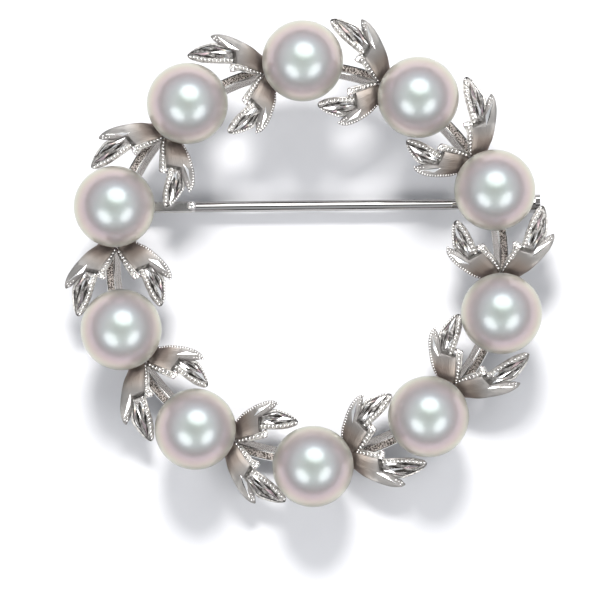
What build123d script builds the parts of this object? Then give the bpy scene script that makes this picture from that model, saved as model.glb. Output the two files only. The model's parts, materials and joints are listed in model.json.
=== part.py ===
from build123d import *
from build123d import SkipClean
from math import atan, degrees, radians, sin, sqrt
import os

# Circle brooch: round pearls on a slim ring, a pair of lobed leaves beside each pearl, a pin across the back.
# Millimetres. The wreath is drawn with its back at z = 0 and +Y upwards as worn, and turned to its rest at the end.

# Pearls
pearl_d = 7.5
pearl_count = 10
pearl_circle_d = 36.83
pearl_gap = 0.03
peg_d = 0.8
peg_reach = 2.6
peg_gap = 0.05

# Carrier ring
ring_width = 1.4
ring_height = 1.3
ring_inset = 0.5
ring_bevel_width = 0.55
ring_bevel_height = 0.55
ring_band_depth = 0.15
ring_lip = 0.12

# Pearl cup
cup_d = 4.0
cup_foot_d = 3.0
cup_floor = 0.22

# Leaves
leaf_length = 7.14
inner_leaf_length = 6.12
leaf_rise = 2.1
leaf_wall = 0.6
leaf_splay = 34.2
leaf_root_gap = 0.18
leaf_part = 0.15

# Pin, hinge and safety catch
pin_d = 1.0
pin_line = 5.26
pin_turn = 0.59
pin_tip_d = 0.25
pin_catch_d = 0.7
pin_shoulder = 6.6
fitting_drop = 1.1
root_width = 1.05
root_height = 1.0
root_chamfer = 0.16
knuckle_d = 1.2
rivet_d = 0.6
rivet_head_d = 1.0
rivet_head_height = 0.2
rivet_gap = 0.02
running_gap = 0.05
ear_wall = 0.5
housing_length = 3.2
housing_wall = 0.3
housing_inset = 0.45
rotor_d = 1.7
rotor_bore_d = 0.9
rotor_collar = 0.25
rotor_collar_d = 2.0
rotor_reach = 1.7
rotor_end_wall = 0.9
lever_wall = 0.42
lever_width = 0.9
lever_length = 1.2
lever_lean = 72
slot_margin = 0.1
solder_bite = 0.2

# Sizes that follow from those above
pearl_r = pearl_d / 2
ring_mean_r = pearl_circle_d / 2 - ring_inset
ring_inner_r = ring_mean_r - ring_width / 2
ring_outer_r = ring_mean_r + ring_width / 2
pearl_seat = ring_height + cup_floor
pearl_z = pearl_seat + pearl_gap + pearl_r
crossing = sqrt(ring_mean_r**2 - pin_line**2)
hinge_x = -crossing
housing_x = crossing - housing_inset
housing_end = housing_x + housing_length
rotor_r = rotor_d / 2
housing_bore_r = rotor_r + running_gap
housing_r = housing_bore_r + housing_wall
rotor_slot = rotor_bore_d
housing_slot = rotor_slot + slot_margin
ear_r = sqrt(housing_r**2 - (housing_slot / 2) ** 2)
ear_gap = root_width + 2 * running_gap
ear_span = ear_gap + 2 * ear_wall
pin_point_x = housing_end - slot_margin
shoulder_x = hinge_x + pin_shoulder

# The hand setting of each pearl, anticlockwise from the top one: turn in degrees from its even place,
# shift outwards as a share of the pearl and turn of its pair of leaves in degrees; then the size of the
# outer leaf, and the turn and splay in degrees and the size of the inner one.
# (turn, outward, pair_turn, outer_size, inner_turn, inner_splay, inner_size)
SETTING = [
    (0.4, 0.020, 0.6, 1.00, 0.0, 4.1, 0.99),
    (0.1, -0.012, 1.3, 1.00, 0.0, 0.5, 1.01),
    (0.9, 0.010, 2.3, 1.00, 0.0, -1.7, 1.07),
    (0.9, -0.028, -0.1, 1.00, 0.0, -3.6, 0.96),
    (1.2, 0.007, -0.3, 1.00, 0.0, -2.0, 0.96),
    (0.7, 0.047, 4.2, 0.98, -9.0, 9.0, 1.06),
    (1.3, -0.051, -1.4, 1.04, -4.8, 1.9, 1.04),
    (2.4, 0.008, -1.8, 1.00, 0.0, 5.2, 1.00),
    (2.2, 0.010, -2.2, 1.02, 0.0, 4.1, 0.96),
    (1.2, -0.014, -3.1, 1.02, 0.0, 3.4, 0.95),
]
first_pearl_turn = 90.9

# Sections across a leaf from its hidden stalk to its tips. Along, outer and inner are shares of the
# leaf's length; rim, shoulder and vein are heights over the ring as shares of the leaf's rise.
# (along, outer, inner, rim, shoulder, vein)
MAIN_LOBE = [
    (-0.34, 0.26, 0.12, 0.04, 0.06, 0.07),
    (-0.13, 0.19, 0.03, 0.07, 0.13, 0.17),
    (0.05, 0.240, 0.015, 0.30, 0.50, 0.57),
    (0.20, 0.305, 0.020, 0.58, 0.85, 0.93),
    (0.38, 0.350, 0.020, 0.70, 0.97, 1.02),
    (0.43, 0.290, 0.030, 0.72, 0.62, 0.74),
    (0.55, 0.255, 0.000, 0.72, 0.58, 0.72),
    (0.72, 0.245, -0.038, 0.70, 0.54, 0.70),
    (0.80, 0.200, -0.050, 0.66, 0.50, 0.66),
    (0.90, 0.130, -0.051, 0.58, 0.44, 0.58),
    (1.00, 0.020, -0.015, 0.48, 0.46, 0.48),
]
OUTER_LOBE = [
    (0.26, 0.328, 0.190, 0.66, 0.72, 0.80),
    (0.45, 0.367, 0.198, 0.76, 0.78, 0.86),
    (0.60, 0.375, 0.225, 0.78, 0.64, 0.78),
    (0.70, 0.361, 0.255, 0.72, 0.60, 0.70),
    (0.765, 0.325, 0.300, 0.62, 0.60, 0.62),
]
INNER_LOBE = [
    (0.03, 0.060, -0.005, 0.36, 0.44, 0.48),
    (0.18, 0.045, -0.045, 0.64, 0.70, 0.72),
    (0.38, 0.030, -0.064, 0.70, 0.62, 0.70),
    (0.455, 0.010, -0.045, 0.64, 0.60, 0.64),
]


def facet(*corners):
    """A flat face through its corners."""
    return Face(Wire.make_polygon([Vector(*c) for c in corners], close=True))


def faceted_loft(rings):
    """A closed solid with flat faces through flat rings that have as many points each."""
    faces = []
    for low, high in zip(rings, rings[1:]):
        for i in range(len(low)):
            j = (i + 1) % len(low)
            faces.append(facet(low[i], low[j], high[j]))
            faces.append(facet(low[i], high[j], high[i]))
    faces += [facet(*rings[0]), facet(*rings[-1])]
    return Solid(Shell(faces))


def leaf_ring(row, length, side):
    """The eight points of one section across a leaf whose outer edge is on +Y, or on -Y for side -1."""
    along, outer, inner, rim, shoulder, vein = row
    x = along * length
    middle = (outer + inner) / 2
    across = (outer, (outer + middle) / 2, middle, (middle + inner) / 2, inner)
    heights = (rim, shoulder, vein, shoulder, rim)
    top = [
        (x, side * share * leaf_length, ring_height + height * leaf_rise)
        for share, height in zip(across, heights)
    ]
    floor = ring_height - solder_bite
    below = [(x, y, max(z - leaf_wall, floor)) for x, y, z in (top[4], top[2], top[0])]
    return top + below


def make_leaf(length, side):
    """One leaf along +X from the point where its pair parts: its main, outer and inner lobes."""
    tables = (MAIN_LOBE, OUTER_LOBE, INNER_LOBE)
    return [faceted_loft([leaf_ring(row, length, side) for row in table]) for table in tables]


def make_leaf_pair(outer_size, inner_turn, inner_splay, inner_size):
    """The lobes of both leaves, with the pearl's axis on Z and the pair pointing along +X."""
    root_x = pearl_r + leaf_root_gap
    outer_place = Pos(root_x, -leaf_part, 0) * Rot(0, 0, -leaf_splay)
    inner_place = Rot(0, 0, inner_turn) * Pos(root_x, leaf_part, 0) * Rot(0, 0, leaf_splay + inner_splay)
    outer_leaf = [outer_place * lobe for lobe in make_leaf(leaf_length * outer_size, -1)]
    inner_leaf = [inner_place * lobe for lobe in make_leaf(inner_leaf_length * inner_size, 1)]
    return outer_leaf + inner_leaf


def make_cup():
    """The dish under a pearl and the peg that goes into it."""
    height = pearl_z - ring_height
    dish = Pos(0, 0, ring_height - solder_bite) * Cone(
        cup_foot_d / 2, cup_d / 2, height / 2, align=(Align.CENTER, Align.CENTER, Align.MIN)
    )
    dish = dish - Pos(0, 0, pearl_z) * Sphere(pearl_r + pearl_gap)
    peg_height = cup_floor / 2 + pearl_gap + peg_reach
    peg = Pos(0, 0, pearl_seat - cup_floor / 2) * Cylinder(
        peg_d / 2, peg_height, align=(Align.CENTER, Align.CENTER, Align.MIN)
    )
    return dish + peg


def make_ring():
    """The carrier ring: a smooth bevel on the inside, a ridge, a sunk band and a thin lip outside."""
    ridge = ring_inner_r + ring_bevel_width
    band = ring_height - ring_band_depth
    lip = ring_outer_r - ring_lip
    outline = Polyline(
        (ring_inner_r, 0, 0),
        (ring_outer_r, 0, 0),
        (ring_outer_r, 0, ring_height),
        (lip, 0, ring_height),
        (lip, 0, band),
        (ridge + ring_lip, 0, band),
        (ridge + ring_lip, 0, ring_height),
        (ridge, 0, ring_height),
        (ring_inner_r, 0, ring_height - ring_bevel_height),
        close=True,
    )
    return revolve(make_face(outline), Axis.Z, 360)


def pearl_settings():
    """For each pearl: its place on the wreath, the same place turned for its leaves, and their sizes."""
    step = 360 / pearl_count
    for number in range(pearl_count):
        turn, outward, pair_turn, *leaf_sizes = SETTING[number % len(SETTING)]
        angle = first_pearl_turn + number * step + turn
        place = Rot(0, 0, angle) * Pos(pearl_circle_d / 2 + outward * pearl_d, 0, 0)
        chord = 90 + step / 2 + pair_turn
        yield place, place * Rot(0, 0, chord), leaf_sizes


def across_pin(radius, width, x):
    """A round piece whose axis lies across the pin, at the hinge's height."""
    return Pos(x, pin_line, -fitting_drop) * Rot(90, 0, 0) * Cylinder(radius, width)


def along_pin(radius, start, end):
    """A round piece on the pin's own axis, from start to end."""
    middle = (start + end) / 2
    return Pos(middle, pin_line, -fitting_drop) * Rot(0, 90, 0) * Cylinder(radius, end - start)


def make_hinge_ears():
    """The two ears that are soldered under the ring, bored for the rivet."""
    height = fitting_drop + solder_bite
    post = Pos(hinge_x, pin_line, solder_bite) * Box(
        2 * ear_r, ear_span, height, align=(Align.CENTER, Align.CENTER, Align.MAX)
    )
    ears = post + across_pin(ear_r, ear_span, hinge_x)
    room = Pos(hinge_x, pin_line, 0) * Box(4 * ear_r, ear_gap, 4 * fitting_drop)
    return ears - room - across_pin(rivet_d / 2 + rivet_gap, 2 * ear_span, hinge_x)


def make_catch_housing():
    """The housing of the catch: a sleeve that is open below, on a foot under the ring and cup."""
    sleeve = along_pin(housing_r, housing_x, housing_end)
    foot_length = cup_foot_d / 2 + housing_inset
    foot = Pos(housing_x, pin_line, ring_height) * Box(
        foot_length, 2 * housing_wall + rotor_bore_d, ring_height + fitting_drop,
        align=(Align.MIN, Align.CENTER, Align.MAX),
    )
    slot = Pos(housing_x, pin_line, -fitting_drop) * Box(
        2 * housing_length + foot_length, housing_slot, 2 * housing_r,
        align=(Align.CENTER, Align.CENTER, Align.MAX),
    )
    bore = along_pin(housing_bore_r, housing_x - housing_inset, housing_end + housing_inset)
    return sleeve + foot - bore - slot


def make_rivet():
    """The rivet through both ears, headed on each side."""
    shank = across_pin(rivet_d / 2, ear_span + rivet_head_height, hinge_x)
    head = across_pin(rivet_head_d / 2, rivet_head_height, hinge_x)
    reach = (ear_span + rivet_head_height) / 2
    return shank + Pos(0, reach, 0) * head + Pos(0, -reach, 0) * head


def make_pin():
    """The pin: a rectangular root on the rivet, a round stem and a tapered point."""
    root = Pos(hinge_x, pin_line, -fitting_drop) * Box(
        pin_shoulder, root_width, root_height, align=(Align.MIN, Align.CENTER, Align.CENTER)
    )
    root = chamfer(root.edges().filter_by(Axis.X), root_chamfer)
    root = chamfer(root.faces().sort_by(Axis.X)[-1].edges(), root_chamfer / 2)
    knuckle = across_pin(knuckle_d / 2, root_width, hinge_x)
    stem = along_pin(pin_d / 2, shoulder_x - root_chamfer, housing_x - housing_length)
    neck = Pos(housing_x - housing_length, pin_line, -fitting_drop) * Rot(0, 90, 0) * Cone(
        pin_d / 2, pin_catch_d / 2, housing_length, align=(Align.CENTER, Align.CENTER, Align.MIN)
    )
    point = Pos(housing_x, pin_line, -fitting_drop) * Rot(0, 90, 0) * Cone(
        pin_catch_d / 2, pin_tip_d / 2, pin_point_x - housing_x,
        align=(Align.CENTER, Align.CENTER, Align.MIN),
    )
    bore = across_pin(rivet_d / 2 + running_gap, 2 * root_width, hinge_x)
    return root + knuckle + stem + neck + point - bore


def make_rotor():
    """The catch's turning sleeve, slotted below for the pin, with a collar at each end and a lever."""
    end = housing_end + rotor_reach
    start = housing_x - running_gap - rotor_collar
    sleeve = along_pin(rotor_r, start, end)
    sleeve += along_pin(rotor_collar_d / 2, start, housing_x - running_gap)
    sleeve += along_pin(rotor_collar_d / 2, housing_end + running_gap, housing_end + running_gap + rotor_collar)
    hollow_end = end - rotor_end_wall
    bore = along_pin(rotor_bore_d / 2, start - rotor_collar, hollow_end)
    slot_start = start - rotor_collar
    slot = Pos(slot_start, pin_line, -fitting_drop) * Box(
        hollow_end - slot_start, rotor_slot, rotor_collar_d, align=(Align.MIN, Align.CENTER, Align.MAX)
    )
    lean = Pos(end, pin_line, -fitting_drop) * Rot(lever_lean, 0, 0)
    blade = lean * Box(lever_wall, lever_length, lever_width, align=(Align.MAX, Align.MIN, Align.CENTER))
    tip = lean * Pos(-lever_wall / 2, lever_length, 0) * Rot(0, 90, 0) * Cylinder(lever_width / 2, lever_wall)
    return sleeve - bore - slot + blade + tip


def make_pearl():
    """A round pearl, drilled from below for its peg."""
    drill = Pos(0, 0, pearl_z - pearl_r) * Cylinder(
        peg_d / 2 + peg_gap, 2 * (peg_reach + peg_gap + pearl_gap)
    )
    return Pos(0, 0, pearl_z) * Sphere(pearl_r) - drill


def rest_tilt():
    """The lean of the wreath when it lies on the hinge's ears and the lower edge of its ring."""
    ear_low = fitting_drop + ear_r
    ear_edge = pin_line - ear_span / 2 + hinge_x * sin(radians(pin_turn))
    return degrees(atan(ear_low / (ear_edge + ring_outer_r)))


def rest_lift():
    """The rise that brings the lower edge of the leaning ring back to the surface."""
    return ring_outer_r * sin(radians(rest_tilt()))


def build_nodes():
    """Every node of the brooch by name, in the wreath's own frame."""
    pin_place = Rot(0, 0, pin_turn)
    cup = make_cup()
    pearl = make_pearl()
    nodes = {}
    soldered = [pin_place * make_hinge_ears(), pin_place * make_catch_housing()]
    for number, (place, leaf_place, leaf_sizes) in enumerate(pearl_settings(), 1):
        nodes[f"pearl_{number:02d}"] = place * pearl
        soldered.append(place * cup)
        soldered += [leaf_place * lobe for lobe in make_leaf_pair(*leaf_sizes)]
    with SkipClean():
        nodes["wreath_frame"] = make_ring().fuse(*soldered)
    nodes["pin_stem"] = pin_place * make_pin()
    nodes["hinge_rivet"] = pin_place * make_rivet()
    nodes["catch_rotor"] = pin_place * make_rotor()
    return nodes


def rest_place(shapes):
    """The turn and shift that lay the brooch on the surface, centred on its footprint."""
    leaning = Pos(0, 0, rest_lift()) * Rot(rest_tilt(), 0, 0)
    box = Compound(children=[leaning * shape for shape in shapes]).bounding_box()
    middle = box.center()
    return Pos(-middle.X, -middle.Y, 0) * leaning


def main():
    os.makedirs("parts", exist_ok=True)
    nodes = build_nodes()
    place = rest_place(nodes.values())
    for name, shape in nodes.items():
        export_step(place * shape, f"parts/{name}.step")


main()
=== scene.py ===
import json
import math
import random

import bmesh
import bpy
import numpy as np
from mathutils import Matrix, Vector


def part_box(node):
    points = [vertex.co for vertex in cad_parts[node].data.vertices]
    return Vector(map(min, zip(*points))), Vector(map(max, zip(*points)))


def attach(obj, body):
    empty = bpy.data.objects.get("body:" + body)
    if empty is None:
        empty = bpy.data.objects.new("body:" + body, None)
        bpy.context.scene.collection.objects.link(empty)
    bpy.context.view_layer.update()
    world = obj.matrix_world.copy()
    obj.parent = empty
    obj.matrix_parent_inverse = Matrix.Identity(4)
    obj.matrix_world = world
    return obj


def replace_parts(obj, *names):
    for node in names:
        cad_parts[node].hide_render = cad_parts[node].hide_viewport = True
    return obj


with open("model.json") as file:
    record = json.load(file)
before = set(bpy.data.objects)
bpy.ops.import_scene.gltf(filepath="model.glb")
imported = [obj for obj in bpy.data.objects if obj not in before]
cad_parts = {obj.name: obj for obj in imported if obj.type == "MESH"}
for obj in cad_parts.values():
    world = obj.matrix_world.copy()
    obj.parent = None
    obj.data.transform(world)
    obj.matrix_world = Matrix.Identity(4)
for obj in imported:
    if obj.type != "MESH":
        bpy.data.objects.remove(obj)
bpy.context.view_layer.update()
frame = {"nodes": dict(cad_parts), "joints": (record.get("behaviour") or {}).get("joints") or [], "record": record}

# Pieces are drawn in millimetres in the wreath's own frame, whose back is z = 0, and then laid where the
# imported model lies. Values are in millimetres, unless a comment says that they are something else.
MM = 0.001
# Start of the random draws
seed = 7
# A radius, or an angle in radians, so small that a turned shape closes on its axis
hair = 0.001
# How far the cups, the leaves and the hinge's ears reach into the ring
solder_bite = 0.2

# Ring
ring_mean_r = 17.915
ring_width = 1.4
ring_height = 1.3
ring_bevel = 0.55
ring_ridge = 0.14
ring_ridge_fall = 0.06
ring_lip = 0.13
ring_band_depth = 0.15
ring_edge = 0.05
ring_segments = 540

# Cup and peg under each pearl
cup_r = 2.0
cup_foot_r = 1.5
cup_foot_flare = 0.1
cup_foot_rise = 0.2
cup_taper = 0.05
cup_lip = 0.12
cup_lip_edge = 0.04
cup_segments = 48
bowl_steps = 7
pearl_gap = 0.03
peg_r = 0.4
peg_gap = 0.05
peg_reach = 2.6
peg_edge = 0.1

# Meshes of the pearls
pearl_steps = 56
pearl_segments = 96

# Leaves. Leaf_splay is in degrees, and outline_inset is a share of the long leaf's length.
leaf_length = 7.14
inner_leaf_length = 6.12
leaf_rise = 2.1
leaf_wall = 0.6
leaf_splay = 34.2
leaf_root_gap = 0.18
leaf_part = 0.15
outline_inset = 0.004

# Rows of cast beads. Bead_play is the range of a bead's size as a share of the full one, edge_bead_share is
# the size of those on the outer edges, and edge_bead_start is a share of the leaf's length. The direction of
# a row is taken from bead_look before a bead to bead_look behind it.
bead_pitch = 0.33
bead_along = 0.155
bead_across = 0.20
bead_rise = 0.15
bead_play = (0.92, 1.06)
bead_look = 0.05
bead_detail = 2
edge_bead_share = 0.72
edge_bead_inset = 0.15
edge_bead_start = 0.06

# Body of a leaf. Body_edge_drop and step_low are shares of the leaf's rise, and the other values of the
# step are shares of its length. The cuts on the body are set body_skin below its crown.
body_grain = 2.2
body_edge_drop = 0.08
body_skin = 0.01
dome_power = 4
step_low = 0.62
step_width = 0.045
step_fade = 0.01
step_lead = 0.02

# Pointed lobe. Drops are below the rim, as shares of the leaf's rise, and starts and stops of the rows of
# beads are shares of its length. A lobe narrower than full_lobe_width has narrower rails.
rail_rim = 0.15
rail_slope = 0.03
rail_width = 0.50
plain_rail_width = 0.22
rail_round = 0.04
full_lobe_width = 1.3
bead_line = 0.31
floor_drop = 0.085
lobe_edge_drop = 0.11
lobe_rim_drop = 0.02
lobe_crest_drop = 0.01
plain_rim_drop = 0.03
inner_beads_start = 0.41
outer_beads_start = 0.73
lobe_beads_stop = 0.975

# Bright cuts. Cut_shift is a share of the leaf's length and cut_lean of the floor's width, by which a cut may
# lie off its row in the table, and the plays are ranges of its width and rise. The peak's place is a share of
# the cut's length, and a cut whose rise is a larger share than bright_cut_rise is bright.
cut_rise = 0.085
cut_foot = 0.1
cut_lift = 0.03
cut_shift = 0.02
cut_lean = 0.07
cut_width_play = (0.85, 1.15)
cut_peak_place = (0.3, 0.5)
cut_peak_play = (0.8, 1.15)
bright_cut_rise = 0.5
grain_r = 0.11
grain_play = (0.8, 1.1)

# Rail of a leaf's body. Its beads start and stop at shares of the leaf's length, on a line at a share of the
# rail's width, in a bed at a share of the leaf's rise. Rail_end_sunk is what is left of the section's depth
# at its blunt end.
rail_sections = 22
rail_beads_start = 0.02
rail_beads_margin = 0.01
rail_bead_line = 0.55
rail_bed_drop = 0.055
rail_end_sunk = 0.2
mark_r = 0.13
mark_segments = 20

# Pin line and its fittings on the ring
fitting_drop = 1.1
rivet_hole_r = 0.32
ear_gap = 1.15
ear_wall = 0.5
ear_r = 1.09
housing_r = 1.2
housing_bore_r = 0.9
housing_slot = 1.0
housing_length = 3.2
foot_length = 1.95
foot_width = 1.5
foot_rise = 0.93
foot_edge = 0.08
ear_segments = 64
ear_least_cosine = 0.01
housing_steps = 49

# The rounded shoulder where the pin's stem leaves its root
shoulder_from_end = 0.42
shoulder_across = 0.16
shoulder_size = (0.44, 0.40, 0.22)

# The leaves of each pearl, anticlockwise from the top one: turn of the pair in degrees and size of the
# outer leaf, then the inner leaf's own turn and splay in degrees and its size.
# (pair_turn, outer_size, inner_turn, inner_splay, inner_size)
LEAF_SETTING = [
    (0.6, 1.00, 0.0, 4.1, 0.99),
    (1.3, 1.00, 0.0, 0.5, 1.01),
    (2.3, 1.00, 0.0, -1.7, 1.07),
    (-0.1, 1.00, 0.0, -3.6, 0.96),
    (-0.3, 1.00, 0.0, -2.0, 0.96),
    (4.2, 0.98, -9.0, 9.0, 1.06),
    (-1.4, 1.04, -4.8, 1.9, 1.04),
    (-1.8, 1.00, 0.0, 5.2, 1.00),
    (-2.2, 1.02, 0.0, 4.1, 0.96),
    (-3.1, 1.02, 0.0, 3.4, 0.95),
]

# Sections across the parts of a leaf, from the root to the tips. Along is a share of the leaf's own
# length, outer and inner are shares of the long leaf's, and heights are shares of the leaf's rise.
# The body runs on as the outer lobe.
# (along, outer, rim, crown)
BODY = [
    (-0.34, 0.26, 0.04, 0.07),
    (-0.12, 0.20, 0.12, 0.18),
    (0.05, 0.235, 0.66, 0.74),
    (0.20, 0.305, 0.82, 0.90),
    (0.37, 0.350, 0.90, 0.97),
    (0.50, 0.371, 0.91, 0.97),
    (0.60, 0.375, 0.89, 0.94),
    (0.68, 0.364, 0.85, 0.89),
    (0.735, 0.345, 0.81, 0.83),
    (0.765, 0.322, 0.77, 0.78),
]
# Sections of the body between places along it
# (from_along, to_along, sections)
BODY_PLACES = [(-0.34, 0.33, 30), (0.335, 0.47, 20), (0.49, 0.765, 20)]
# Points across the body, from its inner edge to its outer one
BODY_SHARES = np.array(
    [0.0, 0.015, 0.04, 0.10, 0.18, 0.28, 0.39, 0.50, 0.61, 0.72, 0.82, 0.90, 0.96, 0.985, 1.0]
)
# The inner edge of each leaf's body, with the slanted step where the pointed lobe begins
# (along, inner)
OUTER_LEAF_EDGE = [
    (-0.34, 0.12), (-0.12, 0.02), (0.05, 0.015), (0.20, 0.030), (0.350, 0.035), (0.405, 0.190),
    (0.58, 0.222), (0.71, 0.262), (0.765, 0.302),
]
INNER_LEAF_EDGE = [
    (-0.34, 0.12), (-0.12, 0.00), (0.05, -0.010), (0.20, -0.010), (0.365, -0.005), (0.415, 0.185),
    (0.58, 0.218), (0.71, 0.260), (0.765, 0.302),
]
# Where the slanted step starts, stops and has faded, along the leaf
step_start, step_stop, step_end = 0.335, 0.405, 0.465
# The pointed lobe
# (along, outer, inner, rim)
MAIN_LOBE = [
    (0.30, 0.240, 0.040, 0.52),
    (0.42, 0.240, 0.030, 0.72),
    (0.50, 0.241, 0.012, 0.77),
    (0.60, 0.244, -0.012, 0.79),
    (0.68, 0.248, -0.030, 0.78),
    (0.74, 0.235, -0.042, 0.76),
    (0.80, 0.200, -0.050, 0.72),
    (0.86, 0.162, -0.052, 0.68),
    (0.92, 0.115, -0.049, 0.63),
    (0.96, 0.074, -0.042, 0.59),
    (0.983, 0.044, -0.029, 0.56),
    (0.996, 0.016, -0.010, 0.53),
]
# Bright cuts on the pointed lobe. Across runs from 0 at the inner rail to 1 at the outer edge, width is
# in millimetres, and ridge is the share of the width on the near side of the cut's highest point.
# Rise is a share of the full rise of a cut: the low ones lie nearly flat and are painted near black, a painted
# dark reflection.
# (start_along, stop_along, start_across, stop_across, width, ridge, rise)
CUTS = [
    (0.450, 0.63, 0.18, 0.12, 0.27, 0.30, 1.0),
    (0.600, 0.84, 0.06, 0.14, 0.23, 0.50, 0.1),
    (0.700, 0.95, 0.38, 0.46, 0.36, 0.26, 1.0),
    (0.460, 0.70, 0.56, 0.46, 0.26, 0.72, 1.0),
    (0.560, 0.80, 0.72, 0.68, 0.22, 0.50, 0.1),
    (0.450, 0.70, 0.92, 0.88, 0.24, 0.26, 1.0),
    (0.690, 0.90, 0.90, 0.92, 0.24, 0.74, 1.0),
    (0.500, 0.68, 0.36, 0.32, 0.20, 0.50, 0.1),
    (0.800, 0.94, 0.16, 0.28, 0.17, 0.50, 0.1),
    (0.720, 0.86, 0.66, 0.74, 0.15, 0.50, 0.1),
]
# The long cut on the outer lobe, between two places on the leaf
# (start_along, stop_along, start_across, stop_across, width, ridge, rise)
OUTER_CUT = (0.36, 0.67, 0.226, 0.326, 0.38, 0.24, 1.1)
# Grains that the graver left beside the outer lobe's tip
# (along, across)
GRAINS = [(0.630, 0.272), (0.675, 0.284), (0.715, 0.292), (0.700, 0.318)]
# The rail on the inner edge of each leaf's body
# (along, outer, inner, rim)
OUTER_LEAF_RAIL = [
    (-0.02, 0.050, -0.005, 0.42),
    (0.08, 0.048, -0.022, 0.64),
    (0.20, 0.047, -0.034, 0.86),
    (0.32, 0.047, -0.038, 0.94),
    (0.36, 0.048, -0.064, 0.97),
    (0.395, 0.048, -0.074, 0.96),
    (0.425, 0.040, -0.056, 0.90),
    (0.435, 0.026, -0.026, 0.84),
]
INNER_LEAF_RAIL = [
    (-0.02, 0.020, -0.050, 0.42),
    (0.08, 0.006, -0.068, 0.64),
    (0.20, 0.000, -0.080, 0.86),
    (0.34, 0.002, -0.086, 0.94),
    (0.42, 0.012, -0.088, 0.95),
    (0.465, 0.028, -0.080, 0.92),
    (0.490, 0.036, -0.050, 0.86),
    (0.497, 0.030, -0.010, 0.82),
]

# Points across the rail
# (share of its width, drop as a share of the leaf's rise)
RAIL_SECTION = [
    (0.0, 0.09), (0.08, 0.015), (0.24, 0.0), (0.30, 0.055),
    (0.80, 0.055), (0.86, 0.0), (0.97, 0.015), (1.0, 0.09),
]
# The punched mark at the rail's end
# (radius as a share of the mark's, height)
MARK_SECTION = [(0.6, -0.08), (1.5, -0.08), (1.5, -0.01), (1.2, 0.05), (0.8, -0.01)]

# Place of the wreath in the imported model
mounts = {mount["name"]: mount for mount in frame["record"]["mounts"]}
joints = {joint["name"]: joint for joint in frame["joints"]}
back = mounts["back_on_cloth"]
face_up = -Vector(back["axis"]).normalized()
to_right = Vector((1, 0, 0))
WREATH = Matrix((to_right, face_up.cross(to_right), face_up)).transposed().to_4x4()
WREATH.translation = Vector(back["pos_m"])
PIN_LINE = Vector(joints["pin_hinge"]["pos_m"])
# Where the pin's root ends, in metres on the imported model's X
root_end = -0.0105


def turned(degrees_round):
    """A turn about the wreath's axis."""
    return Matrix.Rotation(math.radians(degrees_round), 4, "Z")


def moved(x, y, z=0.0):
    """A shift in millimetres."""
    return Matrix.Translation((x, y, z))


def to_wreath(point):
    """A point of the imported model, in the wreath's own frame and in millimetres."""
    return WREATH.inverted() @ Vector(point) / MM


class Piece:
    """Closed shells that become one object."""

    def __init__(self, name, materials):
        self.name = name
        self.materials = materials
        self.points = []
        self.faces = []
        self.slots = []
        self.flat = []
        self.grain = []
        self.count = 0

    def add(self, points, faces, slot=0, flat=False, place=None, grain=None):
        """Adds one shell. Its faces are turned outwards, and grain is a place on the brushed surface."""
        points = np.asarray(points, float)
        if grain is None:
            grain = points[:, :2]
        if place is not None:
            matrix = np.array(place)
            points = points @ matrix[:3, :3].T + matrix[:3, 3]
        if shell_volume(points, faces) < 0:
            faces = [face[::-1] for face in faces]
        self.faces += [tuple(i + self.count for i in face) for face in faces]
        self.slots += list(slot) if hasattr(slot, "__len__") else [slot] * len(faces)
        self.flat += [flat] * len(faces)
        self.points.append(points)
        self.grain.append(np.asarray(grain, float))
        self.count += len(points)

    def build(self, body, slot, sharp=38):
        """Makes the object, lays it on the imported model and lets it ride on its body.

        Edges that turn by more than sharp, in degrees, stay sharp.
        """
        points = np.vstack(self.points)
        matrix = np.array(WREATH)
        world = (points * MM) @ matrix[:3, :3].T + matrix[:3, 3]
        mesh = bpy.data.meshes.new(self.name)
        mesh.from_pydata(world.tolist(), [], self.faces)
        for material in self.materials:
            mesh.materials.append(material)
        mesh.polygons.foreach_set("material_index", self.slots)
        mesh.polygons.foreach_set("use_smooth", [not flat for flat in self.flat])
        mesh.set_sharp_from_angle(angle=math.radians(sharp))
        corners = np.empty(len(mesh.loops), int)
        mesh.loops.foreach_get("vertex_index", corners)
        layer = mesh.uv_layers.new(name="grain")
        layer.data.foreach_set("uv", np.vstack(self.grain)[corners].ravel())
        mesh.update()
        thing = bpy.data.objects.new(self.name, mesh)
        bpy.context.scene.collection.objects.link(thing)
        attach(thing, body)
        return thing


def shell_volume(points, faces):
    """Signed volume of a closed shell, times six."""
    total = 0.0
    sizes = {}
    for face in faces:
        sizes.setdefault(len(face), []).append(face)
    for size, group in sizes.items():
        corners = points[np.array(group)]
        for i in range(1, size - 1):
            total += np.einsum("ij,ij->i", corners[:, 0], np.cross(corners[:, i], corners[:, i + 1])).sum()
    return total


def loft(rings, closed_along=False):
    """Points and faces of a tube through rings of points. Its ends are capped unless it closes on itself."""
    rings = np.asarray(rings, float)
    steps, around = rings.shape[:2]
    faces = []
    last = steps if closed_along else steps - 1
    for i in range(last):
        a, b = i * around, ((i + 1) % steps) * around
        faces += [(a + j, a + (j + 1) % around, b + (j + 1) % around, b + j) for j in range(around)]
    if not closed_along:
        faces.append(tuple(reversed(range(around))))
        faces.append(tuple(range((steps - 1) * around, steps * around)))
    return rings.reshape(-1, 3), faces


def lathe(profile, segments):
    """A closed ring of revolution about Z from a closed profile of (radius, height)."""
    angles = np.linspace(0, 2 * math.pi, segments, endpoint=False)
    profile = np.asarray(profile, float)
    rings = np.stack(
        [np.outer(np.cos(angles), profile[:, 0]), np.outer(np.sin(angles), profile[:, 0]),
         np.tile(profile[:, 1], (segments, 1))], axis=2,
    )
    return loft(rings, closed_along=True)


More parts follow.
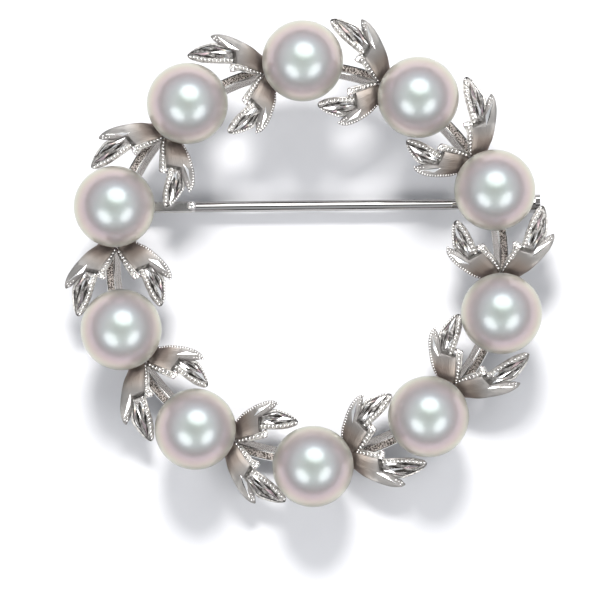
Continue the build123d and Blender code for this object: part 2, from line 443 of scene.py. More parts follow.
def smooth_columns(rows, places):
    """The columns of a table at the places along it, on a smooth curve through its rows."""
    table = np.array(rows, float)
    at, values = table[:, 0], table[:, 1:]
    slopes = np.gradient(values, at, axis=0)
    index = np.clip(np.searchsorted(at, places, side="right") - 1, 0, len(at) - 2)
    width = (at[index + 1] - at[index])[:, None]
    t = ((places - at[index]) / width[:, 0])[:, None]
    before, after = values[index], values[index + 1]
    start, stop = slopes[index] * width, slopes[index + 1] * width
    return (
        (2 * t**3 - 3 * t**2 + 1) * before + (t**3 - 2 * t**2 + t) * start
        + (3 * t**2 - 2 * t**3) * after + (t**3 - t**2) * stop
    )


def ball(detail):
    """Points and triangles of a round ball of radius 1."""
    work = bmesh.new()
    bmesh.ops.create_icosphere(work, subdivisions=detail, radius=1.0)
    points = np.array([tuple(v.co) for v in work.verts])
    faces = [tuple(v.index for v in face.verts) for face in work.faces]
    work.free()
    return points, faces


BEAD_POINTS, BEAD_FACES = ball(bead_detail)
rng = random.Random(seed)


def add_beads(piece, path, place, share=1.0):
    """A row of cast beads along a path of points, evenly spaced, each wider across the row than along it."""
    path = np.asarray(path, float)
    reach = np.concatenate([[0], np.cumsum(np.linalg.norm(np.diff(path, axis=0), axis=1))])
    count = max(2, round(reach[-1] / (bead_pitch * share)))
    for s in np.linspace(0, reach[-1], count):
        centre, ahead, behind = (
            np.array([np.interp(at, reach, path[:, i]) for i in range(3)])
            for at in (s, s + bead_look, s - bead_look)
        )
        forward = (ahead - behind) / np.linalg.norm(ahead - behind)
        across = np.cross((0, 0, 1), forward)
        across /= np.linalg.norm(across)
        axes = np.array([forward * bead_along, across * bead_across, np.cross(forward, across) * bead_rise])
        size = share * rng.uniform(*bead_play)
        piece.add(BEAD_POINTS * size @ axes + centre, BEAD_FACES, BRIGHT, place=place)


def height(share):
    """Height over the wreath's back of a share of the leaf's rise."""
    return ring_height + share * leaf_rise


def under(points):
    """Three points that close a section below its top, a wall's thickness lower but not below the root."""
    floor = ring_height - solder_bite
    ends = [points[-1], points[len(points) // 2], points[0]]
    return [(x, y, max(z - leaf_wall, floor)) for x, y, z in ends]


def column_slots(faces, around, slots_of):
    """The material of each face of a loft, by its step along it and its column round it."""
    return [slots_of(i // around, i % around) for i in range(len(faces))]


def add_body(piece, body_edge, length, side, place, beaded):
    """The brushed body of a leaf, which runs on past its slanted step as the outer lobe."""
    places = np.concatenate([np.linspace(*row) for row in BODY_PLACES])
    inner_edge = np.interp(places, *np.transpose(body_edge))
    step_places = (step_start - step_fade, step_start, step_stop, step_end)
    dome = 1 - np.abs(2 * BODY_SHARES - 1) ** dome_power
    rings, grain, edge = [], [], []
    for along, inner, (outer, rim, crown) in zip(places, inner_edge, smooth_columns(BODY, places)):
        heights = rim + (crown - rim) * dome
        heights[-1] -= body_edge_drop
        heights[0] = min(step_low, rim - body_edge_drop)
        lean = step_width * np.interp(along, step_places, (0, 1, 1, 0))
        top = [
            (along * length, side * (inner + (outer - outline_inset - inner) * q) * leaf_length, height(h))
            for h, q in zip(heights, BODY_SHARES)
        ]
        top[0] = (top[0][0] + lean * length, *top[0][1:])
        rings.append(top + under(top))
        grain.extend([(along * length, q * body_grain) for q in BODY_SHARES] + [(along * length, 0.0)] * 3)
        if along > edge_bead_start:
            edge.append(np.array(top[-1]) - (0, side * edge_bead_inset, -body_edge_drop * leaf_rise))
    points, faces = loft(rings)

    # The slanted step's face gets the darker graved silver, a painted shadow
    def slots_of(step, column):
        on_step = step_start + step_lead < places[min(step, len(places) - 1)] < step_stop
        return GRAVED_AND_STEP_SHADOW if column == 0 and on_step else SATIN

    piece.add(points, faces, column_slots(faces, len(rings[0]), slots_of), place=place, grain=grain)
    if beaded:
        add_beads(piece, edge, place, edge_bead_share)


def body_floor(length):
    """The height of the body's surface by the distance along a leaf of this length."""
    return lambda x: height(smooth_columns(BODY, np.array([x / length]))[0][2]) - body_skin


def add_cut(piece, foot, tip, width, ridge, rise, floor, place):
    """One bright cut: four flat facets that rise to a point, long towards the tip, on a foot in the metal."""
    foot, tip = np.asarray(foot, float), np.asarray(tip, float)
    forward = (tip - foot) / np.linalg.norm(tip - foot)
    across = np.array([-forward[1], forward[0]])
    width *= rng.uniform(*cut_width_play)
    middle = foot + (tip - foot) * rng.uniform(*cut_peak_place)
    corners = [foot, middle - across * width * ridge, tip, middle + across * width * (1 - ridge)]
    top = [(x, y, floor(x) + cut_lift) for x, y in corners]
    low = [(x, y, z - cut_foot) for x, y, z in top]
    peak = (*middle, floor(middle[0]) + cut_lift + cut_rise * rise * rng.uniform(*cut_peak_play))
    faces = [(0, 1, 8), (1, 2, 8), (2, 3, 8), (3, 0, 8)]
    faces += [(i, (i + 1) % 4, 4 + (i + 1) % 4, 4 + i) for i in range(4)] + [(4, 5, 6, 7)]
    # Low cuts get near-black silver, a painted dark reflection
    slots = [CUT if rise > bright_cut_rise else PAINTED_DARK_AND_RECESS] * 4 + [GRAVED_AND_STEP_SHADOW] * 5
    piece.add(top + low + [peak], faces, slots, True, place)


def add_main_lobe(piece, body_edge, length, side, place, beaded):
    """The pointed lobe: a beaded rail inside, a plain one outside, and a sunk floor with cuts between."""
    rings, inner_rail, outer_rail = [], [], []
    for along, outer, inner, rim in MAIN_LOBE:
        width = (outer - outline_inset - inner) * leaf_length
        narrow = min(1.0, width / full_lobe_width)
        low, top_line = rim - floor_drop, rim - lobe_rim_drop
        near, far = rail_width * narrow, width - plain_rail_width * narrow
        spots = [
            (0.0, rim - lobe_edge_drop),
            (rail_round, top_line),
            (rail_rim * narrow, rim - lobe_crest_drop),
            ((rail_rim + rail_slope) * narrow, low),
            (near, low),
            ((near + far) / 2, low),
            (far - rail_round * narrow, low),
            (far, top_line),
            (width - rail_round, rim - plain_rim_drop),
            (width, rim - lobe_edge_drop),
        ]
        top = [(along * length, side * (inner * leaf_length + y), height(h)) for y, h in spots]
        rings.append(top + under(top))
        bead_place = inner * leaf_length + bead_line * narrow
        edge_place = outer * leaf_length - edge_bead_inset
        if inner_beads_start < along < lobe_beads_stop:
            inner_rail.append((along * length, side * bead_place, height(low)))
        if outer_beads_start < along < lobe_beads_stop:
            outer_rail.append((along * length, side * edge_place, height(top_line)))
    points, faces = loft(rings)
    around = len(rings[0])
    tones = [CHASED] * 4 + [GRAVED_AND_STEP_SHADOW] * 2 + [PAINTED_DARK_AND_RECESS] + [CHASED] * 2
    tones += [BRIGHT] * (around - len(tones))
    piece.add(points, faces, column_slots(faces, around, lambda step, column: tones[column]), place=place)
    add_beads(piece, inner_rail, place)
    if beaded:
        add_beads(piece, outer_rail, place, edge_bead_share)

    def spot(along, share):
        outer, inner, rim = smooth_columns(MAIN_LOBE, np.array([along]))[0] * leaf_length
        near = inner + rail_width
        far = outer - plain_rail_width
        if along < body_edge[-1][0]:
            far = min(far, np.interp(along, *np.transpose(body_edge)) * leaf_length)
        return along * length, side * (near + (far - near) * share)

    def floor(x):
        return height(smooth_columns(MAIN_LOBE, np.array([x / length]))[0][2] - floor_drop)

    for start, stop, start_across, stop_across, width, ridge, rise in CUTS:
        shift, lean = rng.uniform(-cut_shift, cut_shift), rng.uniform(-cut_lean, cut_lean)
        foot, tip = spot(start + shift, start_across - lean), spot(stop + shift, stop_across + lean)
        add_cut(piece, foot, tip, width, ridge, rise, floor, place)


def add_outer_cut(piece, length, side, place):
    """The long bright cut of the outer lobe and the grains beside the lobe's tip."""
    floor = body_floor(length)
    start, stop, start_across, stop_across, width, ridge, rise = OUTER_CUT
    foot = (start * length, side * start_across * leaf_length)
    tip = (stop * length, side * stop_across * leaf_length)
    add_cut(piece, foot, tip, width, ridge, rise, floor, place)
    for along, across in GRAINS:
        x = along * length
        centre = np.array((x, side * across * leaf_length, floor(x)))
        size = grain_r * rng.uniform(*grain_play)
        piece.add(BEAD_POINTS * size + centre, BEAD_FACES, BRIGHT, place=place)


def add_rail(piece, table, length, side, place):
    """The rail on the inner edge of a leaf's body: a rim, a row of beads and a blunt end with a mark."""
    places = np.linspace(table[0][0], table[-1][0], rail_sections)
    # The beads stop before the blunt end, the last four rows, and the mark lies on the second of them
    beads_stop = table[-4][0] - rail_beads_margin
    rings, row = [], []
    for along, (outer, inner, rim) in zip(places, smooth_columns(table, places)):
        sunk = 1.0 if along < beads_stop else rail_end_sunk
        top = [
            (along * length, side * (inner + (outer - inner) * q) * leaf_length, height(rim - drop * sunk))
            for q, drop in RAIL_SECTION
        ]
        rings.append(top + under(top))
        if rail_beads_start < along < beads_stop:
            middle = inner + (outer - inner) * rail_bead_line
            row.append((along * length, side * middle * leaf_length, height(rim - rail_bed_drop)))
    points, faces = loft(rings)
    beaded_steps = sum(along < beads_stop for along in places)
    top_columns = len(RAIL_SECTION) - 1

    def slots_of(step, column):
        return CHASED if step < beaded_steps and column < top_columns else BRIGHT

    piece.add(points, faces, column_slots(faces, len(rings[0]), slots_of), place=place)
    add_beads(piece, row, place)
    along, outer, inner, rim = table[-3]
    mark = moved(along * length, side * (outer + inner) / 2 * leaf_length, height(rim))
    points, faces = lathe([(mark_r * r, z) for r, z in MARK_SECTION], mark_segments)
    piece.add(points, faces, BRIGHT, place=place @ mark)


def add_leaf(piece, body_edge, rail, length, side, place, beaded):
    """One leaf along +X from the point where its pair parts."""
    add_body(piece, body_edge, length, side, place, beaded)
    add_main_lobe(piece, body_edge, length, side, place, beaded)
    add_outer_cut(piece, length, side, place)
    add_rail(piece, rail, length, side, place)


def node_shader(name, colour, metallic, roughness):
    """A material, its Principled shader and its node tree."""
    material = bpy.data.materials.new(name)
    material.use_nodes = True
    shader = material.node_tree.nodes["Principled BSDF"]
    shader.inputs["Base Color"].default_value = (*colour, 1)
    shader.inputs["Metallic"].default_value = metallic
    shader.inputs["Roughness"].default_value = roughness
    return material, shader, material.node_tree


def add_noise(tree, coordinate, cycles, stretch, detail):
    """A noise over the surface, in cycles for each unit of the coordinate, stretched along its axes."""
    mapping = tree.nodes.new("ShaderNodeMapping")
    mapping.inputs["Scale"].default_value = [cycles * share for share in stretch]
    noise = tree.nodes.new("ShaderNodeTexNoise")
    noise.inputs["Scale"].default_value = 1.0
    noise.inputs["Detail"].default_value = detail
    tree.links.new(coordinate, mapping.inputs["Vector"])
    tree.links.new(mapping.outputs["Vector"], noise.inputs["Vector"])
    return noise.outputs["Fac"]


def spread(tree, value, low, high):
    """A value from 0 to 1 spread between low and high."""
    node = tree.nodes.new("ShaderNodeMapRange")
    node.inputs["To Min"].default_value = low
    node.inputs["To Max"].default_value = high
    tree.links.new(value, node.inputs["Value"])
    return node.outputs["Result"]


def tinted(tree, value, low, high):
    """A colour between a low and a high one by a value."""
    ramp = tree.nodes.new("ShaderNodeValToRGB")
    ramp.color_ramp.elements[0].color = (*low, 1)
    ramp.color_ramp.elements[1].color = (*high, 1)
    ramp.color_ramp.elements[0].position = tint_start
    ramp.color_ramp.elements[1].position = tint_stop
    tree.links.new(value, ramp.inputs["Fac"])
    return ramp.outputs["Color"]


def bumped(tree, shader, value, strength, distance):
    """Raises the surface by a value."""
    bump = tree.nodes.new("ShaderNodeBump")
    bump.inputs["Strength"].default_value = strength
    bump.inputs["Distance"].default_value = distance
    tree.links.new(value, bump.inputs["Height"])
    tree.links.new(bump.outputs["Normal"], shader.inputs["Normal"])


def grain_place(tree):
    """The place on the brushed surface, in millimetres along and across."""
    return tree.nodes.new("ShaderNodeUVMap").outputs["UV"]


def object_place(tree):
    """The place in the object, in metres."""
    return tree.nodes.new("ShaderNodeTexCoord").outputs["Object"]


# Satin: where its painted warm reflection of the pearl stops and its cool end starts, in millimetres from the
# leaf's root
root_reflection_stop = 0.3
cool_start = 3.6
# Painted reflection of the pearl and painted shade: the warmer, darker satin by the root
SATIN_ROOT_REFLECTION_SHADE = (0.288, 0.248, 0.218)
SATIN_COOL = (0.290, 0.278, 0.266)
# Pin: its two colours, the darker one past the root being painted shade, the length in metres over which the
# filing and that shade blend, and how much the filing roughens the root
STEM_PAINTED_SHADE = (0.42, 0.41, 0.40)
ROOT_COLOUR = (0.68, 0.665, 0.65)
filing_and_shade_blend = 0.0002
filed_roughness = 0.18
# Values of the pearl's shader that are the same all over it. Radii are in metres, and the film's thickness
# is in nanometres.
NACRE = {
    "IOR": 1.98,
    "Subsurface Weight": 0.2,
    "Subsurface Radius": (0.0012, 0.0009, 0.0008),
    "Subsurface Scale": 0.6,
    "Coat Weight": 0.85,
    "Coat Roughness": 0.25,
    "Coat IOR": 2.4,
    "Thin Film Thickness": 540,
    "Thin Film IOR": 1.40,
}
# A pattern that isn't stretched
EVEN = (1, 1, 1)
# Places on a pattern at which its two colours are full
tint_start = 0.3
tint_stop = 0.7


def make_silver(name, colour, pattern, rough, bump, tint=None, contrast=1.0, brushed=False):
    """A silver whose pattern varies its roughness, its height and, where it has a tint, its colour.

    The pattern is (cycles, stretch, detail), in cycles for each metre, or for each millimetre where it is
    brushed. Rough is the range of the roughness, bump is (strength, metres), and tint is two colours.
    """
    material, shader, tree = node_shader(name, colour, 1.0, sum(rough) / 2)
    value = add_noise(tree, grain_place(tree) if brushed else object_place(tree), *pattern)
    if tint:
        sharpened = spread(tree, value, (1 - contrast) / 2, (1 + contrast) / 2)
        tree.links.new(tinted(tree, sharpened, *tint), shader.inputs["Base Color"])
    tree.links.new(spread(tree, value, *rough), shader.inputs["Roughness"])
    bumped(tree, shader, value, *bump)
    return material


def by_distance(tree, coordinate, from_low, from_high, to_low=0.0, to_high=1.0):
    """A value that runs between two places along a coordinate's X."""
    split = tree.nodes.new("ShaderNodeSeparateXYZ")
    tree.links.new(coordinate, split.inputs["Vector"])
    value = spread(tree, split.outputs["X"], to_low, to_high)
    value.node.inputs["From Min"].default_value = from_low
    value.node.inputs["From Max"].default_value = from_high
    return value


def make_satin():
    """Brushed silver of the leaves' bodies: fine lines along the leaf, and a painted warm reflection of the pearl,
    with painted shade, near its root.
    """
    material = make_silver(
        "satin_silver", (0.29, 0.26, 0.235), (1.0, (0.6, 9.0, 1.0), 4.0), rough=(0.32, 0.46),
        bump=(0.9, 0.00004), brushed=True,
    )
    tree = material.node_tree
    # Painted reflection and shade: warm and darker by the root, fading outwards
    outward = by_distance(tree, grain_place(tree), root_reflection_stop, cool_start)
    colour = tinted(tree, outward, SATIN_ROOT_REFLECTION_SHADE, SATIN_COOL)
    tree.links.new(colour, tree.nodes["Principled BSDF"].inputs["Base Color"])
    return material


def make_pin_silver():
    """The silver of the pin and its fittings: drawn and burnished, but filed at the root; past the root it is
    painted darker, as painted shade.
    """
    material, shader, tree = node_shader("drawn_silver", (0.66, 0.645, 0.63), 1.0, 0.2)
    lines = add_noise(tree, object_place(tree), 1800.0, (0.05, 1, 1), 3.0)
    root_filed_stem_shaded = by_distance(tree, object_place(tree), root_end - filing_and_shade_blend, root_end, 1.0, 0.0)
    rough = tree.nodes.new("ShaderNodeMath")
    rough.operation = "MULTIPLY_ADD"
    rough.inputs[1].default_value = filed_roughness
    tree.links.new(root_filed_stem_shaded, rough.inputs[0])
    tree.links.new(spread(tree, lines, 0.02, 0.07), rough.inputs[2])
    tree.links.new(rough.outputs["Value"], shader.inputs["Roughness"])
    # Painted shade: the pin past its root is darker than the root
    tree.links.new(tinted(tree, root_filed_stem_shaded, STEM_PAINTED_SHADE, ROOT_COLOUR), shader.inputs["Base Color"])
    bumped(tree, shader, lines, 0.15, 0.00002)
    return material


def make_nacre():
    """Nacre: a pale warm body under a film that plays from green to rose, and a clear lustrous skin."""
    material, shader, tree = node_shader("nacre", (0.35, 0.34, 0.32), 0.0, 0.42)
    cloud = add_noise(tree, object_place(tree), 260.0, EVEN, 2.0)
    fine = add_noise(tree, object_place(tree), 1500.0, EVEN, 3.0)
    body = tinted(tree, cloud, (0.330, 0.316, 0.296), (0.358, 0.343, 0.322))
    tree.links.new(body, shader.inputs["Base Color"])
    tree.links.new(spread(tree, fine, 0.37, 0.47), shader.inputs["Roughness"])
    for name, value in NACRE.items():
        shader.inputs[name].default_value = value
    bumped(tree, shader, fine, 0.04, 0.00002)
    return material


# Places of the materials on a leaf and on the ring
SATIN, BRIGHT, CUT, PAINTED_DARK_AND_RECESS, CHASED, GRAVED_AND_STEP_SHADOW = range(6)
POLISHED, CAST, SCRAPED = range(3)

satin = make_satin()
# Polished silver of the beads and edges
bright = make_silver(
    "bright_silver", (0.84, 0.83, 0.81), (1400.0, EVEN, 3.0), rough=(0.08, 0.24), bump=(0.25, 0.00002),
)
# The mirror of a bright cut, with the faint lines of the graver
cut = make_silver(
    "cut_silver", (0.90, 0.89, 0.88), (2500.0, (1, 0.3, 1), 2.0), rough=(0.07, 0.18), bump=(0.12, 0.00001),
)
pin_silver = make_pin_silver()
# Rough, darker silver at the bottom of the ring's sunk band, its grains tinted brown as a painted reflection of
# the leaves and pearls
cast = make_silver(
    "cast_silver_painted_reflection", (0.30, 0.265, 0.24), (8500.0, EVEN, 2.0), rough=(0.22, 0.5), bump=(0.9, 0.00008),
    tint=((0.05, 0.04, 0.034), (0.62, 0.56, 0.515)), contrast=2.8,
)
nacre = make_nacre()
# Silver that the graver and the punch left uneven
chased = make_silver(
    "chased_silver", (0.31, 0.296, 0.278), (3200.0, EVEN, 3.0), rough=(0.22, 0.40), bump=(0.9, 0.00012),
    tint=((0.31, 0.296, 0.278), (0.66, 0.64, 0.61)),
)
# The same, darker, in the sunk floors and on the cuts' walls, and as a painted shadow on the slanted step's face
graved_and_step_shadow = make_silver(
    "graved_silver_and_step_shadow", (0.10, 0.093, 0.086), (3200.0, EVEN, 3.0), rough=(0.22, 0.40), bump=(0.9, 0.00012),
    tint=((0.10, 0.093, 0.086), (0.44, 0.425, 0.41)),
)
# Near-black silver on the wall up to the plain rail, and as a painted dark reflection on the low cuts
painted_dark_and_recess = make_silver(
    "dark_silver", (0.18, 0.165, 0.155), (2600.0, EVEN, 3.0), rough=(0.28, 0.46), bump=(0.4, 0.00004),
    tint=((0.02, 0.018, 0.016), (0.08, 0.074, 0.07)),
)
# Scraped silver of the ring's bevel and walls
scraped = make_silver(
    "scraped_silver", (0.50, 0.475, 0.45), (1.0, (0.4, 14.0, 1.0), 3.0), rough=(0.16, 0.30),
    bump=(0.5, 0.00003), tint=((0.46, 0.435, 0.41), (0.54, 0.515, 0.49)), brushed=True,
)
leaf_materials = [satin, bright, cut, painted_dark_and_recess, chased, graved_and_step_shadow]


def make_ring():
    """The carrier ring: a smooth bevel inside, a ridge, a rough sunk band and a thin lip outside."""
    inner = ring_mean_r - ring_width / 2
    outer = ring_mean_r + ring_width / 2
    ridge = inner + ring_bevel
    band = ring_height - ring_band_depth
    shoulder = ring_height - ring_bevel
    # Each point of the section, with the silver of the face that runs on from it
    section = [
        (inner + ring_edge, 0, SCRAPED),
        (outer - ring_edge, 0, POLISHED),
        (outer, ring_edge, SCRAPED),
        (outer, ring_height - ring_edge, POLISHED),
        (outer - ring_edge, ring_height, POLISHED),
        (outer - ring_lip, ring_height, POLISHED),
        (outer - ring_lip - ring_edge, band, CAST),
        (ridge + ring_ridge + ring_edge, band, POLISHED),
        (ridge + ring_ridge, ring_height - ring_ridge_fall, POLISHED),
        (ridge, ring_height, SCRAPED),
        (inner + ring_edge, shoulder, POLISHED),
        (inner, shoulder - ring_edge, SCRAPED),
        (inner, ring_edge, POLISHED),
    ]
    piece = Piece("ring", [bright, cast, scraped])
    points, faces = lathe([point[:2] for point in section], ring_segments)
    slots = [section[i % len(section)][-1] for i in range(len(faces))]
    angles = np.arctan2(points[:, 1], points[:, 0])[:, None]
    grain = np.hstack([angles * ring_mean_r, points[:, 2:3]])
    piece.add(points, faces, slots, grain=grain)
    return piece


def add_cup(piece, pearl, radius, place):
    """The dish under a pearl with its thin lip, and the peg that goes into the pearl."""
    seat = pearl.z - radius - pearl_gap
    foot = ring_height - solder_bite
    reach = radius + pearl_gap
    rise = reach - math.sqrt(reach**2 - cup_r**2)
    lip = seat + rise
    wall = [
        (hair, foot),
        (cup_foot_r, foot),
        (cup_foot_r + cup_foot_flare, foot + cup_foot_rise),
        (cup_r - cup_taper, lip - cup_lip),
        (cup_r, lip - cup_lip_edge),
        (cup_r - cup_lip_edge, lip),
    ]
    steps = np.linspace(cup_r - cup_lip, peg_r, bowl_steps)
    bowl = [(r, pearl.z - math.sqrt(reach**2 - r**2)) for r in steps]
    top = seat + pearl_gap + peg_reach
    peg = [(peg_r, top - peg_edge), (peg_r - peg_edge, top), (hair, top)]
    points, faces = lathe(wall + bowl + peg, cup_segments)
    piece.add(points, faces, 0, place=place)


def make_pearl(number, centre, radius):
    """A round pearl, drilled from below for its peg."""
    hole = peg_r + peg_gap
    steep = math.asin(hole / radius)
    angles = np.linspace(math.pi - steep, hair, pearl_steps)
    skin = [(radius * math.sin(a), radius * math.cos(a)) for a in angles]
    mouth = -radius * math.cos(steep)
    depth = -radius + peg_reach + pearl_gap + peg_gap
    inside = [(hair, depth), (hole, depth), (hole, mouth)]
    piece = Piece(f"pearl_nacre_{number:02d}", [nacre])
    points, faces = lathe(inside + skin, pearl_segments)
    piece.add(points, faces, 0, place=Matrix.Translation(centre))
    thing = piece.build("wreath", "pearl", sharp=60)
    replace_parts(thing, f"pearl_{number:02d}")


def make_wreath():
    """Pearls, cups and leaf pairs, each pair turned and sized by its row of the table."""
    for number, setting in enumerate(LEAF_SETTING, 1):
        pair_turn, outer_size, inner_turn, inner_splay, inner_size = setting
        low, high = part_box(f"pearl_{number:02d}")
        centre = to_wreath((low + high) / 2)
        radius = (high.x - low.x) / 2 / MM
        make_pearl(number, centre, radius)
        axis = moved(centre.x, centre.y)
        angle = math.degrees(math.atan2(centre.y, centre.x))
        along = axis @ turned(angle + 90 + 180 / len(LEAF_SETTING) + pair_turn)
        piece = Piece(f"leaf_pair_{number:02d}", leaf_materials)
        root_x = radius + leaf_root_gap
        outer_place = along @ moved(root_x, -leaf_part) @ turned(-leaf_splay)
        inner_root = along @ turned(inner_turn) @ moved(root_x, leaf_part)
        inner_place = inner_root @ turned(leaf_splay + inner_splay)
        long, short = leaf_length * outer_size, inner_leaf_length * inner_size
        add_leaf(piece, OUTER_LEAF_EDGE, OUTER_LEAF_RAIL, long, -1, outer_place, False)
        add_leaf(piece, INNER_LEAF_EDGE, INNER_LEAF_RAIL, short, 1, inner_place, True)
        piece.build("wreath", "silver")
        cup = Piece(f"cup_{number:02d}", [bright])
        add_cup(cup, centre, radius, axis)
        cup.build("wreath", "silver")
    make_ring().build("wreath", "silver")


def pin_frame():
    """The place on the hinge from which the pin runs along +X, and the distance from there to the catch."""
    hinge = to_wreath(PIN_LINE)
    far = to_wreath(joints["catch_turn"]["pos_m"])
    turn = math.degrees(math.atan2(far.y - hinge.y, far.x - hinge.x))
    return moved(hinge.x, hinge.y, hinge.z) @ turned(turn), (far - hinge).length


def make_ears(place):
    """The two ears that are soldered under the ring, bored for the rivet."""
    angles = np.linspace(0, 2 * math.pi, ear_segments, endpoint=False)
    rise = fitting_drop + solder_bite
    edge = []
    for a in angles:
        reach = ear_r
        if math.sin(a) > 0:
            reach = min(ear_r / max(abs(math.cos(a)), ear_least_cosine), rise / math.sin(a))
        edge.append((reach * math.cos(a), reach * math.sin(a)))
    hole = [(rivet_hole_r * math.cos(a), rivet_hole_r * math.sin(a)) for a in angles]
    piece = Piece("hinge_ears", [pin_silver])
    for side in (-1, 1):
        near = side * ear_gap / 2
        far = side * (ear_gap / 2 + ear_wall)
        sides = [(near, hole), (near, edge), (far, edge), (far, hole)]
        rings = [[(x, y, z) for x, z in outline] for y, outline in sides]
        points, faces = loft(rings, closed_along=True)
        piece.add(points, faces, 0, place=place)
    piece.build("wreath", "silver", sharp=30)


def make_housing(place, start):
    """The housing of the catch: a sleeve that is open below, on a foot under the ring."""
    half = math.asin(housing_slot / 2 / housing_r)
    half_inside = math.asin(housing_slot / 2 / housing_bore_r)
    outside = np.linspace(-math.pi / 2 + half, 1.5 * math.pi - half, housing_steps)
    inside = np.linspace(1.5 * math.pi - half_inside, -math.pi / 2 + half_inside, housing_steps)
    section = [(housing_r * math.cos(a), housing_r * math.sin(a)) for a in outside]
    section += [(housing_bore_r * math.cos(a), housing_bore_r * math.sin(a)) for a in inside]
    piece = Piece("catch_housing", [pin_silver])
    rings = [[(start + x, y, z) for y, z in section] for x in (0, housing_length)]
    points, faces = loft(rings)
    piece.add(points, faces, 0, place=place)
    high = fitting_drop + ring_height
    half_width = foot_width / 2
    foot = [
        (-half_width, foot_rise),
        (half_width, foot_rise),
        (half_width, high - foot_edge),
        (half_width - foot_edge, high),
        (foot_edge - half_width, high),
        (-half_width, high - foot_edge),
    ]
    rings = [[(start + x, y, z) for y, z in foot] for x in (0, foot_length)]
    points, faces = loft(rings)
    piece.add(points, faces, 0, place=place)
    return piece.build("wreath", "silver", sharp=30)


def make_shoulder(place):
    """The small rounded shoulder on top of the pin, at the end of its root."""
    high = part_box("pin_stem")[1]
    top = to_wreath(high) - to_wreath(PIN_LINE)
    at = (root_end - PIN_LINE.x) / MM - shoulder_from_end
    piece = Piece("pin_shoulder", [bright])
    points = BEAD_POINTS * shoulder_size
    piece.add(points, BEAD_FACES, 0, place=place @ moved(at, shoulder_across, top.z))
    piece.build("pin", "silver")


make_wreath()
pin_place, catch_start = pin_frame()
make_shoulder(pin_place)
make_ears(pin_place)
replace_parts(make_housing(pin_place, catch_start), "wreath_frame")

# The pin, its rivet and the catch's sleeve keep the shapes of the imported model
for name in ("pin_stem", "hinge_rivet", "catch_rotor"):
    mesh = frame["nodes"][name].data
    mesh.materials.clear()
    mesh.materials.append(pin_silver)

# Floor: its side in metres, its two greys and the faint cool light that it gives off
floor_side = 3.0
FLOOR_GREYS = ((0.66, 0.66, 0.68), (0.68, 0.68, 0.70))
floor_glow = (0.80, 0.90, 1.0, 1)
floor_glow_strength = 0.05


def make_floor():
    """The pale surface that the brooch lies on."""
    bpy.ops.mesh.primitive_plane_add(size=floor_side)
    floor = bpy.context.object
    floor.name = "floor"
    material, shader, tree = node_shader("light_table", (0.67, 0.67, 0.69), 0.0, 0.8)
    fibres = add_noise(tree, object_place(tree), 300.0, EVEN, 4.0)
    tree.links.new(tinted(tree, fibres, *FLOOR_GREYS), shader.inputs["Base Color"])
    shader.inputs["Emission Color"].default_value = floor_glow
    shader.inputs["Emission Strength"].default_value = floor_glow_strength
    floor.data.materials.append(material)
    return floor


floor = make_floor()

# Camera: square to the wreath, as in the photograph. It aims at a point in millimetres on the wreath, and
# its distance and its clip are in metres.
aim = Vector((-0.67, -3.45, 5.3))
view_distance = 1.2
view_clip = 10.0
frame_width = 55.2 * MM
camera_data = bpy.data.cameras.new("camera")
camera_data.lens = camera_data.sensor_width * view_distance / frame_width
camera_data.clip_end = view_clip
camera = bpy.data.objects.new("camera", camera_data)
bpy.context.scene.collection.objects.link(camera)
camera.matrix_world = WREATH @ Matrix.Translation(aim * MM) @ Matrix.Translation((0, 0, view_distance))
bpy.context.scene.camera = camera


def add_box_light(name, toward, distance, size, brightness, colour):
    """A soft box that faces the brooch from a direction on the wreath's own axes, as bright at any size."""
    data = bpy.data.lights.new(name, "AREA")
    data.shape = "ELLIPSE"
    data.size, data.size_y = size
    data.energy = brightness * math.pi * (math.pi / 4 * size[0] * size[1])
    data.color = colour
    light = bpy.data.objects.new(name, data)
    bpy.context.scene.collection.objects.link(light)
    away = Vector(toward).normalized()
    turn = away.to_track_quat("Z", "Y").to_matrix().to_4x4()
    light.matrix_world = WREATH @ Matrix.Translation(away * distance) @ turn
    light.visible_camera = False
    return light


# Soft boxes, with their distances and sizes in metres
# (name, direction on the wreath's axes, distance, width and depth, brightness, colour)
LIGHTS = [
    ("top_box", (0.08, 0.54, 0.84), 0.40, (0.38, 0.32), 4.3, (1.0, 1.0, 1.0)),
    ("left_box", (-0.48, -0.46, 0.74), 0.40, (0.31, 0.20), 3.6, (1.0, 0.99, 0.98)),
    ("right_box", (0.54, -0.40, 0.74), 0.40, (0.31, 0.19), 3.5, (1.0, 0.99, 0.98)),
]
# A harder lamp that lights the floor alone, so that the wreath's shadow falls on it as in the photograph
GROUND_LAMP = ("ground_lamp", (-0.04, 0.745, 0.665), 0.45, (0.18, 0.14), 50.0, (1.0, 0.99, 0.97))
boxes = {row[0]: add_box_light(*row) for row in LIGHTS}
ground = bpy.data.collections.new("ground")
ground.objects.link(floor)
add_box_light(*GROUND_LAMP).light_linking.receiver_collection = ground
# The top box leaves the floor to the ground lamp
not_ground = bpy.data.collections.new("not_ground")
not_ground.objects.link(floor)
not_ground.collection_objects[0].light_linking.link_state = "EXCLUDE"
boxes["top_box"].light_linking.receiver_collection = not_ground

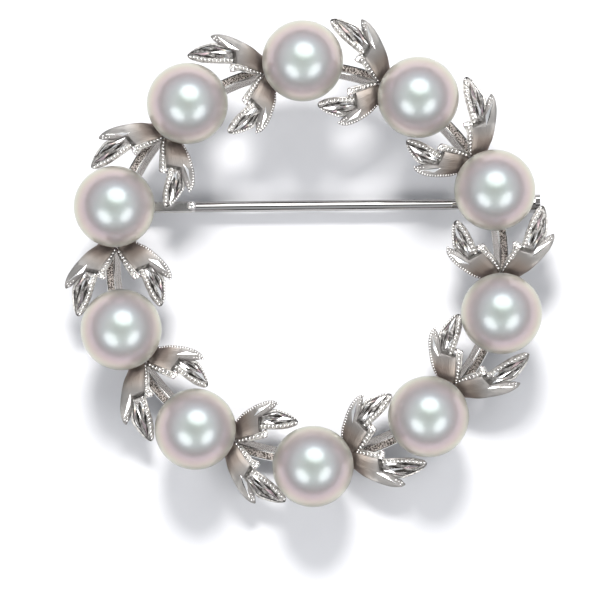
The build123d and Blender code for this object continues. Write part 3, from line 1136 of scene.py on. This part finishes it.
# Brightness of the tent by the height of the direction, from the horizon up. The far side counts as higher
# by far_side_lift.
# (height, grey)
TENT = [
    (0.0, 0.03), (0.22, 0.09), (0.38, 0.45), (0.55, 0.76),
    (0.84, 0.80), (0.93, 0.32), (0.97, 0.05), (1.0, 0.03),
]
far_side_lift = 0.10
TENT_TINT = np.array((0.96, 0.99, 1.03))
backdrop = (0.93, 0.94, 0.96, 1)


def make_world():
    """A studio tent: dark around the lens overhead, bright at its sides, dim low down, pale to the eye."""
    world = bpy.data.worlds.new("studio")
    bpy.context.scene.world = world
    world.use_nodes = True
    tree = world.node_tree
    tent = tree.nodes["Background"]
    direction = tree.nodes.new("ShaderNodeTexCoord").outputs["Generated"]
    split = tree.nodes.new("ShaderNodeSeparateXYZ")
    ramp = tree.nodes.new("ShaderNodeValToRGB")
    lift = tree.nodes.new("ShaderNodeMath")
    lift.operation = "MULTIPLY_ADD"
    lift.inputs[1].default_value = far_side_lift
    tree.links.new(direction, split.inputs["Vector"])
    tree.links.new(split.outputs["Y"], lift.inputs[0])
    tree.links.new(split.outputs["Z"], lift.inputs[2])
    tree.links.new(lift.outputs["Value"], ramp.inputs["Fac"])
    tree.links.new(ramp.outputs["Color"], tent.inputs["Color"])
    # Each new stop gets its own place and grey right after
    while len(ramp.color_ramp.elements) < len(TENT):
        ramp.color_ramp.elements.new(0.5)
    for element, (place, grey) in zip(ramp.color_ramp.elements, TENT):
        element.position = place
        element.color = (*(grey * TENT_TINT), 1)
    pale = tree.nodes.new("ShaderNodeBackground")
    pale.inputs["Color"].default_value = backdrop
    seen = tree.nodes.new("ShaderNodeLightPath").outputs["Is Camera Ray"]
    mix = tree.nodes.new("ShaderNodeMixShader")
    tree.links.new(seen, mix.inputs["Fac"])
    tree.links.new(tent.outputs["Background"], mix.inputs[1])
    tree.links.new(pale.outputs["Background"], mix.inputs[2])
    tree.links.new(mix.outputs["Shader"], tree.nodes["World Output"].inputs["Surface"])


make_world()
bpy.context.scene.view_settings.view_transform = "Standard"
